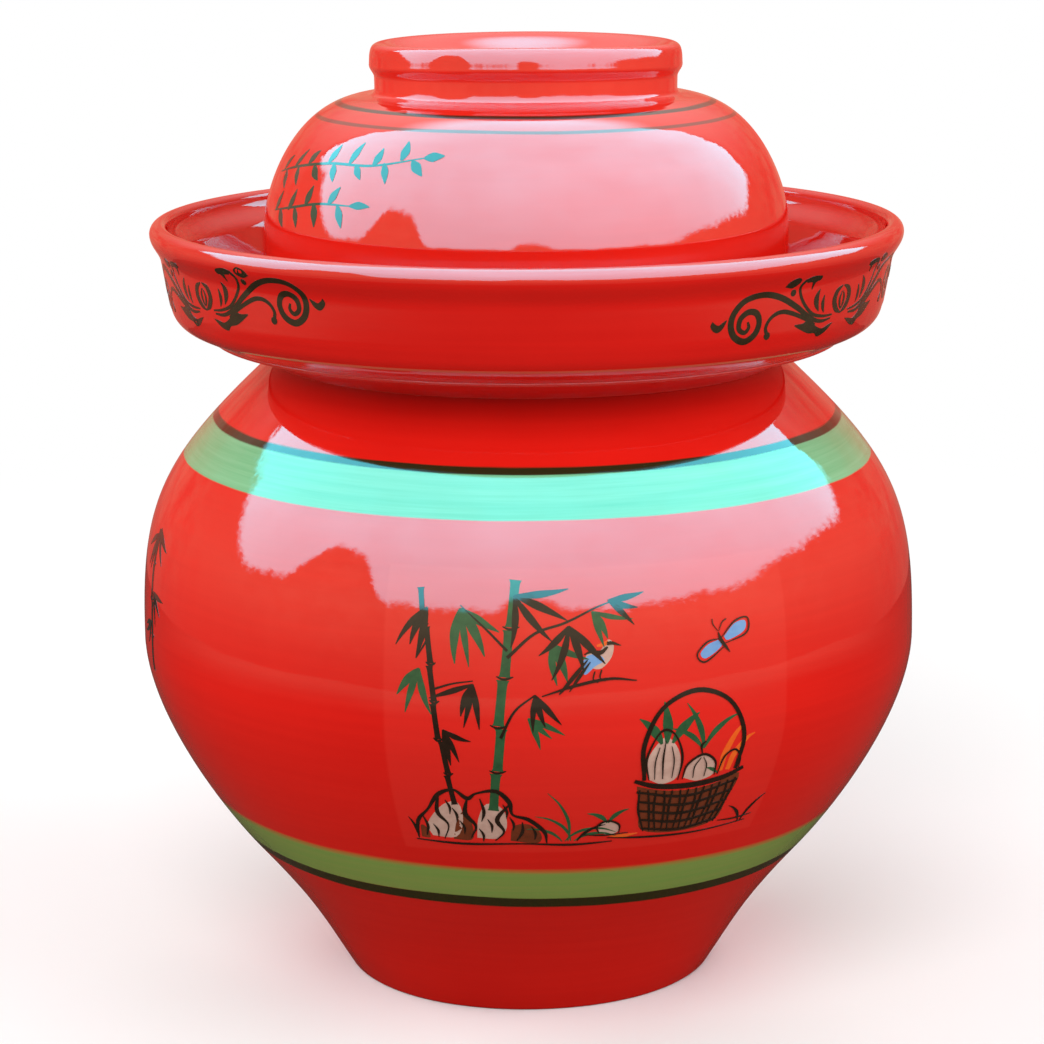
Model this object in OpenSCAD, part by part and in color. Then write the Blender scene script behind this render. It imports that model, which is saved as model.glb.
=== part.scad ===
// Water seal fermentation crock, glazed earthenware.
// A water trough, thrown as a ring of its own, is joined on round the mouth of a wide jar.
// A bowl-shaped lid stands upside down in the trough, so that gas bubbles out under its lip and no
// air comes in. Under it a small inner lid covers the mouth, and a split round weight keeps the
// food below the brine.

/* [Foot] */
// Diameter of the foot where the jar meets the table
foot_d = 119.5; // [110:0.5:130]
// Width of the flat ring that the jar stands on
foot_ring_w = 14; // [8:0.5:20]
// Depth of the hollow turned inside the foot ring
foot_hollow = 3; // [1:0.5:5]
// Radius of the softened edge round the foot
foot_edge_r = 1.5; // [0.5:0.25:3]
// Lean of the wall where it rises from the foot, in degrees from upright
foot_lean = 31.5; // [26:0.5:38]

/* [Body] */
// Diameter of the flare, at the lower painted band
flare_d = 184; // [172:1:196]
// Height of that place above the table
flare_z = 45.7; // [40:0.1:52]
// Lean of the wall there, in degrees from upright
flare_lean = 41; // [34:1:46]
// Diameter of the belly, the widest place
belly_d = 249; // [238:1:272]
// Height of the belly above the table
belly_z = 112; // [102:1:122]
// Height of the shoulder, where the trough grows out of it
shoulder_z = 201; // [190:1:217]
// Lean of the shoulder there, in degrees inwards from upright
shoulder_lean = 47; // [42:1:52]
// Thickness of the thrown wall
wall_t = 7; // [5:0.25:9]
// Thickness of the floor
floor_t = 9; // [6:0.5:12]
// Height of the rounded corner between the floor and the wall inside
floor_corner = 14; // [8:1:20]

/* [Mouth and neck] */
// Inner diameter of the mouth, wide enough for a hand
mouth_d = 104; // [92:1:116]
// Thickness of the neck
neck_t = 8; // [6:0.5:10]
// Height of the neck above the trough's floor
neck_h = 40; // [34:1:48]
// Radius of both edges on top of the neck
neck_edge_r = 2; // [1:0.25:3]
// How far below the trough's floor the straight bore of the mouth begins
throat_drop = 4; // [2:0.5:7]
// Lean of the ceiling round the mouth inside, in degrees inwards from upright
throat_lean = 57; // [48:1:66]

/* [Water trough] */
// Height of the trough's floor above the shoulder
trough_rise = 11; // [10:0.5:14]
// Depth of the trough, from its rim to its floor
trough_depth = 33; // [26:1:42]
// Width of the water between the lid and the trough's wall, at the floor
water_w = 22.3; // [17:0.1:28]
// Thickness of the trough's wall
trough_wall_t = 7; // [5:0.1:9]
// Lean of the trough's wall, in degrees outwards from upright
trough_lean = 10; // [5:1:14]
// Height over which the wall opens out into the rim
flare_h = 11.5; // [9:0.5:15]
// How far the rim stands out past the wall's own line
rim_proud = 1.4; // [0.8:0.1:2.4]
// Radius of the rim's outer edge
rim_outer_r = 2.4; // [1.8:0.1:3.2]
// Radius of the rim's inner edge
rim_inner_r = 3.2; // [2.4:0.1:3.6]
// How far the trough's wall overhangs the shoulder
overhang = 30.6; // [25:0.1:36]
// Height above the shoulder of the thin ridge where the trough was joined on
ridge_rise = 7.7; // [6.5:0.1:8.2]
// Distance of that ridge inwards from the trough's wall
ridge_in = 12.2; // [10:0.1:14]
// Radius of that ridge
ridge_r = 0.7; // [0.5:0.1:1.2]
// Lean of the underside where it leaves the shoulder, in degrees from upright
root_lean = 56; // [48:1:62]
// Lean of the underside beyond the ridge, in degrees from upright
underside_lean = 66; // [60:1:72]
// Radius of the corner between the underside and the wall
trough_corner_r = 8; // [5:0.5:10]
// Radius of the corner between the trough's floor and its wall inside
trough_fillet_r = 9; // [6:0.5:11]
// Radius of the corner between the trough's floor and the neck
neck_fillet_r = 5; // [3:0.5:8]

/* [Lid] */
// Thickness of the lid's wall
lid_t = 5.5; // [4:0.25:7]
// Clear width between the neck and the inside of the lid
lid_neck_gap = 17.5; // [13:0.5:25]
// Height of the upright lip that stands in the water
lip_h = 32.7; // [26:0.1:40]
// Radius of the lip's lower edges
lip_edge_r = 2; // [1:0.25:2.5]
// Lean of the dome above the lip, in degrees inwards from upright
dome_lean = 2; // [0:0.5:8]
// Lean of the dome at its top, in degrees inwards from upright
crown_lean = 82; // [76:1:86]
// Room between the inner lid's knob and the lid
lid_headroom = 5.7; // [3:0.1:12]
// Thickness of the lid's crown
crown_t = 7; // [5.5:0.25:9]
// Diameter of the foot ring on top, by which the lid is lifted
ring_d = 99; // [90:1:110]
// Height of the foot ring above the crown
ring_h = 13; // [10:0.5:17]
// Thickness of the foot ring
ring_t = 6.5; // [5.5:0.25:8]
// Radius of the foot ring's outer edge
ring_edge_r = 3.5; // [2.5:0.25:4]
// How far the foot ring swells past its waist
ring_swell = 1.6; // [0.8:0.1:2.6]
// Radius of the foot ring's inner edge
ring_inner_edge_r = 1.5; // [0.8:0.1:2.2]
// Width of the curve between the ring's waist and the dome
ring_root_w = 5.4; // [4:0.1:7]
// Height of that curve
ring_root_h = 5.8; // [4:0.1:7]
// Height of the ring's waist above the crown inside it
waist_rise = 2.4; // [1.5:0.1:3.4]

/* [Inner lid] */
// Thickness of the inner lid at its edge
inner_lid_t = 5; // [4:0.25:7]
// Rise of its top towards the knob
inner_lid_crown = 3; // [1.5:0.25:5]
// How far its edge stays inside the outer edge of the neck
inner_lid_setback = 2; // [1:0.25:3.5]
// Depth of the ring that keeps it centred in the mouth
spigot_h = 8; // [5:0.5:12]
// Thickness of that ring
spigot_t = 5; // [4:0.25:7]
// Radius of the edges of the disc and of the ring
inner_edge_r = 1.5; // [0.8:0.1:1.8]
// Diameter of the knob
knob_d = 28; // [22:1:36]
// Height of the knob
knob_h = 14; // [10:0.5:18]
// Diameter of the knob's waist
knob_waist_d = 18; // [14:0.5:21]

/* [Weights] */
// Thickness of the two weights
weight_t = 20; // [14:1:26]
// Radius of their edges
weight_edge_r = 3; // [1.5:0.25:5]
// Gap between the two halves
weight_split = 1; // [0.6:0.1:2]
// Diameter of the finger hole that the halves share
finger_d = 28; // [22:1:34]

/* [Clearances] */
// Clearance under each loose piece where it stands
seat_gap = 0.3; // [0.2:0.05:0.5]
// Clearance of the inner lid's ring in the mouth, all round
spigot_gap = 2.5; // [1:0.25:4]
// Clearance of the weights in the mouth and on the floor, all round
weight_gap = 6; // [3:0.5:9]

/* [Hidden] */
$fn = 96;

// Steps along a long curve, and degrees that each step of a small round turns
curve_n = 12;
round_step = 22.5;
// Overrun of every cut
over = 1;

// Shares of its chord that each end of a curve runs straight for
even_shares = [0.35, 0.35];
flare_shares = [0.35, 0.52];
belly_shares = [0.245, 0.295];
shoulder_shares = [0.43, 0.515];
throat_shares = [0.3, 0.2];
dome_shares = [0.24, 0.41];
knob_top_shares = [0.4, 0.4];
ring_root_shares = [0.35, 0.45];
// Shares of their height at which the foot ring and the knob are widest
ring_swell_share = 0.39;
knob_swell_share = 0.62;

glaze_red = [0.82, 0.11, 0.09];
glaze_lid_red = [0.9, 0.17, 0.12];
glaze_inner = [0.7, 0.1, 0.08];
bare_clay = [0.72, 0.5, 0.36];

// Levels above the table
floor_z = foot_hollow + floor_t;
trough_z = shoulder_z + trough_rise;
rim_z = trough_z + trough_depth;
neck_z = trough_z + neck_h;
throat_z = trough_z - throat_drop;
lid_z = trough_z + seat_gap;
lip_z = lid_z + lip_h;
inner_lid_z = neck_z + seat_gap;
disc_z = inner_lid_z + inner_lid_t;
knob_z = disc_z + inner_lid_crown;
knob_top_z = knob_z + knob_h;
ceiling_z = knob_top_z + lid_headroom;
crown_z = ceiling_z + crown_t;
ring_z = crown_z + ring_h;
weight_z = floor_z + seat_gap;

// Radii, from the mouth outwards
mouth_r = mouth_d / 2;
neck_r = mouth_r + neck_t;
lip_in_r = neck_r + lid_neck_gap;
lip_r = lip_in_r + lid_t;
trough_in_r = lip_r + water_w;
trough_r = trough_in_r + trough_wall_t;
shoulder_r = trough_r - overhang;
foot_in_r = foot_d / 2 - foot_ring_w;
ring_r = ring_d / 2;
ring_in_r = ring_r - ring_t;
waist_r = ring_r - ring_swell;
inner_lid_r = neck_r - inner_lid_setback;
spigot_r = mouth_r - spigot_gap;
spigot_in_r = spigot_r - spigot_t;
knob_r = knob_d / 2;

// Outline helpers. A point is [radius, height], and each outline runs up the outside first.
function polar(r, a) = [r * cos(a), r * sin(a)];
function lean(a) = [sin(a), cos(a)];
function unit(v) = v / norm(v);
function last(line) = line[len(line) - 1];
function rest(line) = [for (i = [1 : len(line) - 1]) line[i]];
function reversed(line) = [for (i = [len(line) - 1 : -1 : 0]) line[i]];
function arc(c, r, a, b) =
    let (steps = ceil(abs(b - a) / round_step))
    [for (i = [0 : steps]) c + polar(r, a + (b - a) * i / steps)];

// Curve that leaves p at one lean and arrives at q at another
function bow(p, p_lean, q, q_lean, shares) =
    let (chord = norm(q - p),
         u = p + lean(p_lean) * chord * shares[0],
         v = q - lean(q_lean) * chord * shares[1])
    [for (i = [0 : curve_n])
        let (t = i / curve_n, s = 1 - t)
        s^3 * p + 3 * s^2 * t * u + 3 * s * t^2 * v + t^3 * q];

// Corner k on the way from p to q, rounded to radius r
function rounded(p, k, q, r) =
    let (u = unit(p - k),
         v = unit(q - k),
         half = acos(u * v) / 2,
         c = k + unit(u + v) * r / sin(half),
         a = k + u * r / tan(half) - c,
         b = k + v * r / tan(half) - c,
         start = atan2(a[1], a[0]),
         turn = atan2(a[0] * b[1] - a[1] * b[0], a * b))
    arc(c, r, start, start + turn);

// The same line, a wall's thickness further in
function inset(line, t) =
    [for (i = [0 : len(line) - 1])
        let (along = unit(line[min(i + 1, len(line) - 1)] - line[max(i - 1, 0)]))
        line[i] + t * [-along[1], along[0]]];

// Outside of the body, from the foot to the shoulder
foot_at = [foot_d / 2, 0];
flare_at = [flare_d / 2, flare_z];
belly_at = [belly_d / 2, belly_z];
shoulder_at = [shoulder_r, shoulder_z];
body_line = concat(
    bow(foot_at, foot_lean, flare_at, flare_lean, flare_shares),
    rest(bow(flare_at, flare_lean, belly_at, 0, belly_shares)),
    rest(bow(belly_at, 0, shoulder_at, -shoulder_lean, shoulder_shares)));
// Inside of the body, above the rounded corner of the floor. The lower and the upper half of the
// jar are thrown one after the other and meet at the belly.
seam_at = belly_at - [wall_t, 0];
cavity_line = concat(
    [for (p = inset(body_line, wall_t)) if (p[1] > floor_z + floor_corner && p[1] < belly_z - over) p],
    [seam_at],
    [for (p = inset(body_line, wall_t)) if (p[1] > belly_z + over) p]);
floor_r = cavity_line[0][0] - floor_corner;

// Outside and inside of the trough's wall at a height
function trough_in(z) = [trough_in_r + (z - trough_z) * tan(trough_lean), z];
function trough_out(z) = trough_in(z) + [trough_wall_t, 0];

// Foot, with the hollow turned inside its ring
foot_outline = concat(
    [[0, foot_hollow], [foot_in_r - foot_hollow, foot_hollow], [foot_in_r, 0]],
    rounded([foot_in_r, 0], foot_at, body_line[1], foot_edge_r));

// Trough: underside, joining ridge and wall, over the flared rim, then down its inside to the
// shoulder, where it meets the jar face to face
ridge_at = [trough_r - ridge_in, shoulder_z + ridge_rise];
corner_at = [trough_r, ridge_at[1] + ridge_in / tan(underside_lean)];
rim_r = trough_out(rim_z)[0] + rim_proud;
rim_in_r = rim_r - rim_outer_r - rim_inner_r;
wall_top_out = trough_out(rim_z - flare_h);
wall_top_in = trough_in(rim_z - flare_h);
rim_out_at = [rim_r, rim_z - rim_outer_r];
rim_in_at = [rim_in_r, rim_z - rim_inner_r];
trough_outline = concat(
    bow(shoulder_at, root_lean, ridge_at - ridge_r * lean(underside_lean), underside_lean, even_shares),
    rest(arc(ridge_at, ridge_r, -90 - underside_lean, 90 - underside_lean)),
    rounded(ridge_at, corner_at, wall_top_out, trough_corner_r),
    bow(wall_top_out, trough_lean, rim_out_at, 0, even_shares),
    rest(arc(rim_out_at - [rim_outer_r, 0], rim_outer_r, 0, 90)),
    rest(arc(rim_in_at + [rim_inner_r, 0], rim_inner_r, 90, 180)),
    rest(bow(rim_in_at, 180, wall_top_in, 180 + trough_lean, even_shares)),
    rounded(wall_top_in, trough_in(trough_z), [neck_r, trough_z], trough_fillet_r),
    [[shoulder_r, trough_z]]);

module water_trough() {
    color(glaze_red)
        rotate_extrude()
            polygon(trough_outline);
}

// Jar: over the shoulder's ledge to the neck and throat, then down the inside of the body
throat_line = bow(last(cavity_line), -throat_lean, [mouth_r, throat_z], 0, throat_shares);
neck_outline = concat(
    [[shoulder_r, trough_z]],
    rounded([shoulder_r, trough_z], [neck_r, trough_z], [neck_r, neck_z], neck_fillet_r),
    rounded([neck_r, trough_z], [neck_r, neck_z], [mouth_r, neck_z], neck_edge_r),
    rounded([neck_r, neck_z], [mouth_r, neck_z], [mouth_r, throat_z], neck_edge_r),
    reversed(throat_line));
cavity_outline = concat(
    [for (p = reversed(cavity_line)) if (p[1] <= belly_z) p],
    rest(reversed(bow([floor_r, floor_z], 90, cavity_line[0], foot_lean, even_shares))),
    [[0, floor_z]]);

module jar() {
    color(glaze_red)
        rotate_extrude()
            polygon(concat(foot_outline, [for (p = rest(body_line)) if (p[1] <= belly_z) p], cavity_outline));
}

module jar_shoulder() {
    color(glaze_red)
        rotate_extrude()
            polygon(concat([for (p = body_line) if (p[1] >= belly_z) p], neck_outline,
                           [for (p = rest(reversed(cavity_line))) if (p[1] >= belly_z) p]));
}

// Lid: an upside-down bowl, from the lip over the dome to its foot ring, and back inside
dome_at = [lip_r, lip_z];
waist_at = [waist_r, crown_z + waist_rise];
ring_root_at = waist_at + [ring_root_w, -ring_root_h];
swell_at = [ring_r, waist_at[1] + (ring_z - waist_at[1]) * ring_swell_share];
dome_line = bow(dome_at, -dome_lean, ring_root_at, -crown_lean, dome_shares);
lid_outline = concat(
    rounded([lip_in_r, lid_z], [lip_r, lid_z], [lip_r, lip_z], lip_edge_r),
    dome_line,
    rest(bow(ring_root_at, -crown_lean, waist_at, 0, ring_root_shares)),
    rest(bow(waist_at, 0, swell_at, 0, even_shares)),
    rounded(swell_at, [ring_r, ring_z], [ring_in_r, ring_z], ring_edge_r),
    rounded([ring_r, ring_z], [ring_in_r, ring_z], [ring_in_r, crown_z], ring_inner_edge_r),
    rounded([ring_in_r, ring_z], [ring_in_r, crown_z], [0, crown_z], ring_edge_r),
    [[0, crown_z], [0, ceiling_z]],
    reversed(inset(dome_line, lid_t)),
    rounded([lip_in_r, lip_z], [lip_in_r, lid_z], [lip_r, lid_z], lip_edge_r));

module lid() {
    color(glaze_lid_red)
        rotate_extrude()
            polygon(lid_outline);
}

// Inner lid: a crowned disc with a spigot under it and a knob on top
knob_waist_at = [knob_waist_d / 2, knob_z];
knob_swell_at = [knob_r, knob_z + knob_h * knob_swell_share];
inner_lid_outline = concat(
    [[0, inner_lid_z], [spigot_in_r, inner_lid_z]],
    rounded([spigot_in_r, inner_lid_z], [spigot_in_r, inner_lid_z - spigot_h],
            [spigot_r, inner_lid_z - spigot_h], inner_edge_r),
    rounded([spigot_in_r, inner_lid_z - spigot_h], [spigot_r, inner_lid_z - spigot_h],
            [spigot_r, inner_lid_z], inner_edge_r),
    [[spigot_r, inner_lid_z]],
    rounded([spigot_r, inner_lid_z], [inner_lid_r, inner_lid_z], [inner_lid_r, disc_z], inner_edge_r),
    rounded([inner_lid_r, inner_lid_z], [inner_lid_r, disc_z], knob_waist_at, inner_edge_r),
    bow(knob_waist_at, 0, knob_swell_at, 0, even_shares),
    rest(bow(knob_swell_at, 0, [0, knob_top_z], -90, knob_top_shares)));

module inner_lid() {
    color(glaze_inner)
        rotate_extrude()
            polygon(inner_lid_outline);
}

// Weights: one round disc as large as the mouth and the floor allow, split in two
weight_r = min(mouth_r - weight_gap, floor_r - weight_gap);
weight_outline = concat(
    [[0, weight_z]],
    rounded([0, weight_z], [weight_r, weight_z], [weight_r, weight_z + weight_t], weight_edge_r),
    rounded([weight_r, weight_z], [weight_r, weight_z + weight_t], [0, weight_z + weight_t], weight_edge_r),
    [[0, weight_z + weight_t]]);

module weight() {
    color(bare_clay)
        difference() {
            rotate_extrude()
                polygon(weight_outline);
            translate([weight_split / 2 - weight_r - over, -weight_r - over, weight_z - over])
                cube([weight_r + over, 2 * (weight_r + over), weight_t + 2 * over]);
            translate([0, 0, weight_z - over])
                cylinder(d = finger_d, h = weight_t + 2 * over);
        }
}

module weight_right() {
    weight();
}

module weight_left() {
    mirror([1, 0, 0])
        weight();
}

jar();
jar_shoulder();
water_trough();
lid();
inner_lid();
weight_left();
weight_right();
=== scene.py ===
import math
import random

import bmesh
import bpy
from mathutils import Matrix, Vector
from mathutils.geometry import interpolate_bezier


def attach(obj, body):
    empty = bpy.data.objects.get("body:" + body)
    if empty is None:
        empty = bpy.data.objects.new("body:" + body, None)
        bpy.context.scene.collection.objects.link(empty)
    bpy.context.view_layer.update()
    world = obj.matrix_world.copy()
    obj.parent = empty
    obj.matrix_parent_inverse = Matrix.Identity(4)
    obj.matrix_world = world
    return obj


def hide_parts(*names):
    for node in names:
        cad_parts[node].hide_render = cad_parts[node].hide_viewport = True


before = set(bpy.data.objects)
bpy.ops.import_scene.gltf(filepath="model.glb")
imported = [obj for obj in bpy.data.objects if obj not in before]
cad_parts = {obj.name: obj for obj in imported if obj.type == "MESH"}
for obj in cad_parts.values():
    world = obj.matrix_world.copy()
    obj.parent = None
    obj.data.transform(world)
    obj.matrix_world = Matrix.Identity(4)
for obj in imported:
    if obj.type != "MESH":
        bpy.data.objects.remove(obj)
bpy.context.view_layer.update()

# Jar. A wide jar of stoneware, thrown on the wheel in two halves that are joined at the belly. It
# is glazed red all over but for the foot that it stands on, and brown inside. Green and black bands
# are brushed on as it turns. All sizes are in millimetres, and leans in degrees from upright.
MM = 0.001
foot_r, foot_hollow, foot_ring_w, foot_edge_r = 59.75, 3, 14, 1.5
wall, floor_z, floor_corner = 7, 12, 14
mouth_r, neck_r, neck_z, throat_z = 52, 60, 252, 208
neck_edge_r, neck_fillet_r = 2, 5
shoulder_r, shoulder_in_z, trough_z = 81.7, 195, 212
foot_lean, flare_lean, shoulder_lean, throat_lean = 31.5, 41, -47, -57
foot_at = Vector((foot_r, 0))
flare_at = Vector((92, 45.7))
belly_at = Vector((124.5, 112))
shoulder_at = Vector((shoulder_r, 201))
brown_top_z = neck_z - 12
jar_sway = 0.5
low_black, low_green = (46.0, 49.9), (49.6, 61.2)
high_green, high_black = (170.5, 182.6), (182.1, 184.0)
film_turns, film_heights = (-20, 38), (69, 158)


def lean(angle):
    """Direction that leans outwards from straight up by an angle in degrees."""
    return Vector((math.sin(math.radians(angle)), math.cos(math.radians(angle))))


def curve(start, start_lean, end, end_lean, shares=(0.35, 0.35), steps=40):
    """Smooth line that leaves start at one lean and arrives at end at another."""
    chord = (end - start).length
    out = start + lean(start_lean) * chord * shares[0]
    back = end - lean(end_lean) * chord * shares[1]
    return [p.to_2d() for p in interpolate_bezier(start, out, back, end, steps + 1)]


def arc(centre, radius, first, last, step=7.5):
    """Part of a circle, between two directions in degrees."""
    steps = math.ceil(abs(last - first) / step)
    return [centre + radius * lean(90 - first - (last - first) * i / steps)
            for i in range(steps + 1)]


def rounded(before, corner, after, radius):
    """A corner of the outline, rounded off."""
    before, corner, after = Vector(before), Vector(corner), Vector(after)
    u, v = (before - corner).normalized(), (after - corner).normalized()
    half = u.angle(v) / 2
    centre = corner + (u + v).normalized() * radius / math.sin(half)
    a = corner + u * radius / math.tan(half) - centre
    b = corner + v * radius / math.tan(half) - centre
    first = math.atan2(a.y, a.x)
    turn = math.atan2(a.x * b.y - a.y * b.x, a.dot(b))
    return arc(centre, radius, math.degrees(first), math.degrees(first + turn))


def inset(line, depth):
    """The same line, a wall's thickness further in."""
    moved = []
    for i, p in enumerate(line):
        along = (line[min(i + 1, len(line) - 1)] - line[max(i - 1, 0)]).normalized()
        moved.append(p + depth * Vector((-along.y, along.x)))
    return moved


def thrown(p, sway):
    """A point as the potter's hands left it: out of round by up to sway, but not at the axis."""
    true_within = 30 * MM
    round_r, turn = math.hypot(p.x, p.y), math.atan2(p.y, p.x)
    out = (0.5 * math.sin(2 * turn + 0.6 + 11 * p.z) + 0.3 * math.sin(3 * turn + 2.1 - 17 * p.z)
           + 0.2 * math.sin(5 * turn + 31 * p.z)) * sway * MM * min(1, round_r / true_within)
    return Vector((p.x + out * math.cos(turn), p.y + out * math.sin(turn), p.z))


def as_object(name, bm, *materials):
    """Turns a bmesh into an object of the scene."""
    mesh = bpy.data.meshes.new(name)
    bm.to_mesh(mesh)
    bm.free()
    for material in materials:
        mesh.materials.append(material)
    thing = bpy.data.objects.new(name, mesh)
    bpy.context.scene.collection.objects.link(thing)
    return thing


def finished(name, bm, body, slot, *materials):
    """Makes the mesh a piece that rides on a body, smooth except at its real edges."""
    piece = as_object(name, bm, *materials)
    piece.data.shade_smooth()
    piece.data.set_sharp_from_angle(angle=math.radians(30))
    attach(piece, body)
    return piece


def turned(outline, sway, turns=240):
    """Turns an outline of [radius, height] points in millimetres round the axis of the wheel."""
    bm = bmesh.new()
    points = [bm.verts.new((r * MM, 0, z * MM)) for r, z in outline]
    for pair in zip(points, points[1:]):
        bm.edges.new(pair)
    bmesh.ops.remove_doubles(bm, verts=bm.verts, dist=0.02 * MM)
    bmesh.ops.spin(bm, geom=bm.verts[:] + bm.edges[:], cent=(0, 0, 0), axis=(0, 0, 1),
                   angle=math.tau, steps=turns, use_merge=True)
    bmesh.ops.remove_doubles(bm, verts=bm.verts, dist=0.001 * MM)
    bmesh.ops.recalc_face_normals(bm, faces=bm.faces)
    for v in bm.verts:
        v.co = thrown(v.co, sway)
    return bm


class Wire:
    """A socket of a material. Arithmetic on it adds Math nodes, and add makes any other node."""

    def __init__(self, tree, socket=None):
        self.tree, self.socket = tree, socket

    def add(self, kind, settings={}, inputs={}, output=0):
        node = self.tree.nodes.new("ShaderNode" + kind)
        for name, value in settings.items():
            setattr(node, name, value)
        for name, value in inputs.items():
            if isinstance(value, Wire):
                self.tree.links.new(value.socket, node.inputs[name])
            else:
                node.inputs[name].default_value = value
        return Wire(self.tree, node.outputs[output])

    def math(self, operation, first, second=0.0):
        return self.add("Math", {"operation": operation}, {0: first, 1: second})

    def __add__(self, other):
        return self.math("ADD", self, other)

    def __sub__(self, other):
        return self.math("SUBTRACT", self, other)

    def __rsub__(self, other):
        return self.math("SUBTRACT", other, self)

    def __mul__(self, other):
        return self.math("MULTIPLY", self, other)

    __radd__, __rmul__ = __add__, __mul__

    def stretched(self, *factors):
        return self.add("VectorMath", {"operation": "MULTIPLY"}, {0: self, 1: factors})

    def past(self, edge, soft):
        """0 below the edge and 1 above it, over a soft edge that is twice soft wide."""
        return self.add("MapRange", {"interpolation_type": "SMOOTHSTEP"},
                        {"Value": self - edge, "From Min": -soft, "From Max": soft})

    def between(self, low, high, soft):
        return self.past(low, soft) * (1 - self.past(high, soft))

    def noise(self, size, detail=2.0, roughness=0.5):
        """Cloudy noise from 0 to 1, with lumps of about the given size in millimetres."""
        return self.add("TexNoise", {}, {"Vector": self, "Scale": 1 / size, "Detail": detail,
                                         "Roughness": roughness})

    def blend(self, first, second):
        """Goes from one colour to another as this value goes from 0 to 1."""
        return self.add("Mix", {"data_type": "RGBA"}, {0: self, 6: first, 7: second}, 2)


def paint(red, green, blue):
    """A colour as a screen shows it, from 0 to 255, made linear."""
    return [((c / 255 + 0.055) / 1.055) ** 2.4 if c > 10 else c / 3295
            for c in (red, green, blue)] + [1]


def glossy(name, colour, shine=0.035):
    """A glazed finish: colour(place) gives its colour, and the glass over it is softly uneven.
    The shine is one roughness for all of it, or is worked out from the place as the colour is."""
    material = bpy.data.materials.new(name)
    material.use_nodes = True
    tree = material.node_tree
    shader = tree.nodes["Principled BSDF"]
    place = Wire(tree).add("TexCoord", output="Object").stretched(1000, 1000, 1000)
    waves = place.noise(30, 1.0) * 0.16
    throwing = place.stretched(0.02, 0.02, 1).noise(5, 1.0) * 0.02
    peel = place.noise(1.6, 1.0) * 0.0022
    bump = place.add("Bump", {}, {"Height": waves + throwing + peel, "Strength": 1.0,
                                  "Distance": MM})
    tree.links.new(bump.socket, shader.inputs["Normal"])
    tree.links.new(colour(place).socket, shader.inputs["Base Color"])
    if callable(shine):
        tree.links.new(shine(place).socket, shader.inputs["Roughness"])
    else:
        shader.inputs["Roughness"].default_value = shine
    shader.inputs["IOR"].default_value = 1.56
    return material


def axes(place):
    """The three coordinates of a place."""
    return [place.add("SeparateXYZ", {}, {"Vector": place}, i) for i in range(3)]


def red_glaze(place, deep, bright):
    """Red enamel: cloudy from the dipping, with faint brush lines round the pot."""
    clouds = place.noise(55, 3.0)
    lines = place.stretched(0.03, 0.03, 1).noise(2.2, 2.0)
    return (clouds * 0.7 + lines * 0.5 - 0.1).blend(deep, bright)


def jar_colour(place):
    across, depth, height = axes(place)
    by_hand = height + (place.noise(45, 1.0) - 0.5) * 0.8
    brush = place.stretched(0.02, 0.02, 1).noise(1.3, 3.0, 0.6)
    colour = red_glaze(place, paint(214, 22, 15), paint(234, 32, 22))
    # painted shade: the red is darkened towards the corner under the trough, where the trough
    # shades the shoulder
    colour = (height.past(199, 7) * 0.6).blend(colour, paint(120, 4, 6))
    # the clear film of the picture shows as a slightly paler patch
    turn = place.math("ARCTAN2", across, depth * -1) * math.degrees(1)
    film = turn.between(*film_turns, 0.3) * height.between(*film_heights, 0.5)
    colour = (film * 0.16).blend(colour, paint(245, 75, 62))
    # lower green, thin over the red at its upper edge, with a black line below
    low, streaks = by_hand + across * 0.02, brush - 0.5
    low_band = low.past(low_green[0], 0.25) * (1 - (low + streaks * 2).past(low_green[1], 1.5))
    colour = low_band.blend(colour, brush.blend(paint(114, 160, 72), paint(150, 156, 80)))
    colour = (low + streaks * 0.8).between(*low_black, 0.3).blend(colour, paint(46, 42, 10))
    # upper green, brushed on thickly, with a black line on top
    high_band = (by_hand + streaks * 0.5).between(*high_green, 0.25)
    colour = high_band.blend(colour, brush.blend(paint(82, 174, 116), paint(138, 206, 158)))
    return (by_hand + streaks).between(*high_black, 0.25).blend(colour, paint(34, 40, 18))


jar_glaze = glossy("RedJarGlaze", jar_colour)
clay = glossy("BareClay", lambda place: place.noise(1.1, 4.0, 0.7).blend(
    paint(150, 104, 74), paint(196, 150, 112)), shine=0.8)
tea_glaze = glossy("TeaBrownGlaze", lambda place: place.noise(24, 4.0).blend(
    paint(96, 40, 20), paint(140, 62, 30)), shine=0.12)

jar_side = (curve(foot_at, foot_lean, flare_at, flare_lean, (0.35, 0.52))
            + curve(flare_at, flare_lean, belly_at, 0, (0.245, 0.295))[1:]
            + curve(belly_at, 0, shoulder_at, shoulder_lean, (0.43, 0.515))[1:])
cavity = [p for p in inset(jar_side, wall) if p.y > floor_z + floor_corner]
floor_r = cavity[0].x - floor_corner
foot_in = foot_r - foot_ring_w
ledge, neck_foot = (shoulder_r, trough_z), (neck_r, trough_z)
neck_top, mouth_top, throat = (neck_r, neck_z), (mouth_r, neck_z), (mouth_r, throat_z)
throat_line = curve(cavity[-1], throat_lean, Vector(throat), 0, (0.3, 0.2))
floor_line = curve(Vector((floor_r, floor_z)), 90, cavity[0], foot_lean)
jar_outline = (
    [(0, foot_hollow), (foot_in - foot_hollow, foot_hollow), (foot_in, 0)]
    + rounded((foot_in, 0), foot_at, jar_side[1], foot_edge_r) + jar_side[1:] + [ledge]
    + rounded(ledge, neck_foot, neck_top, neck_fillet_r)
    + rounded(neck_foot, neck_top, mouth_top, neck_edge_r)
    + rounded(neck_top, mouth_top, throat, neck_edge_r) + throat_line[::-1]
    + cavity[::-1] + floor_line[::-1] + [(0, floor_z)])
bm = turned(jar_outline, jar_sway)
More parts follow.
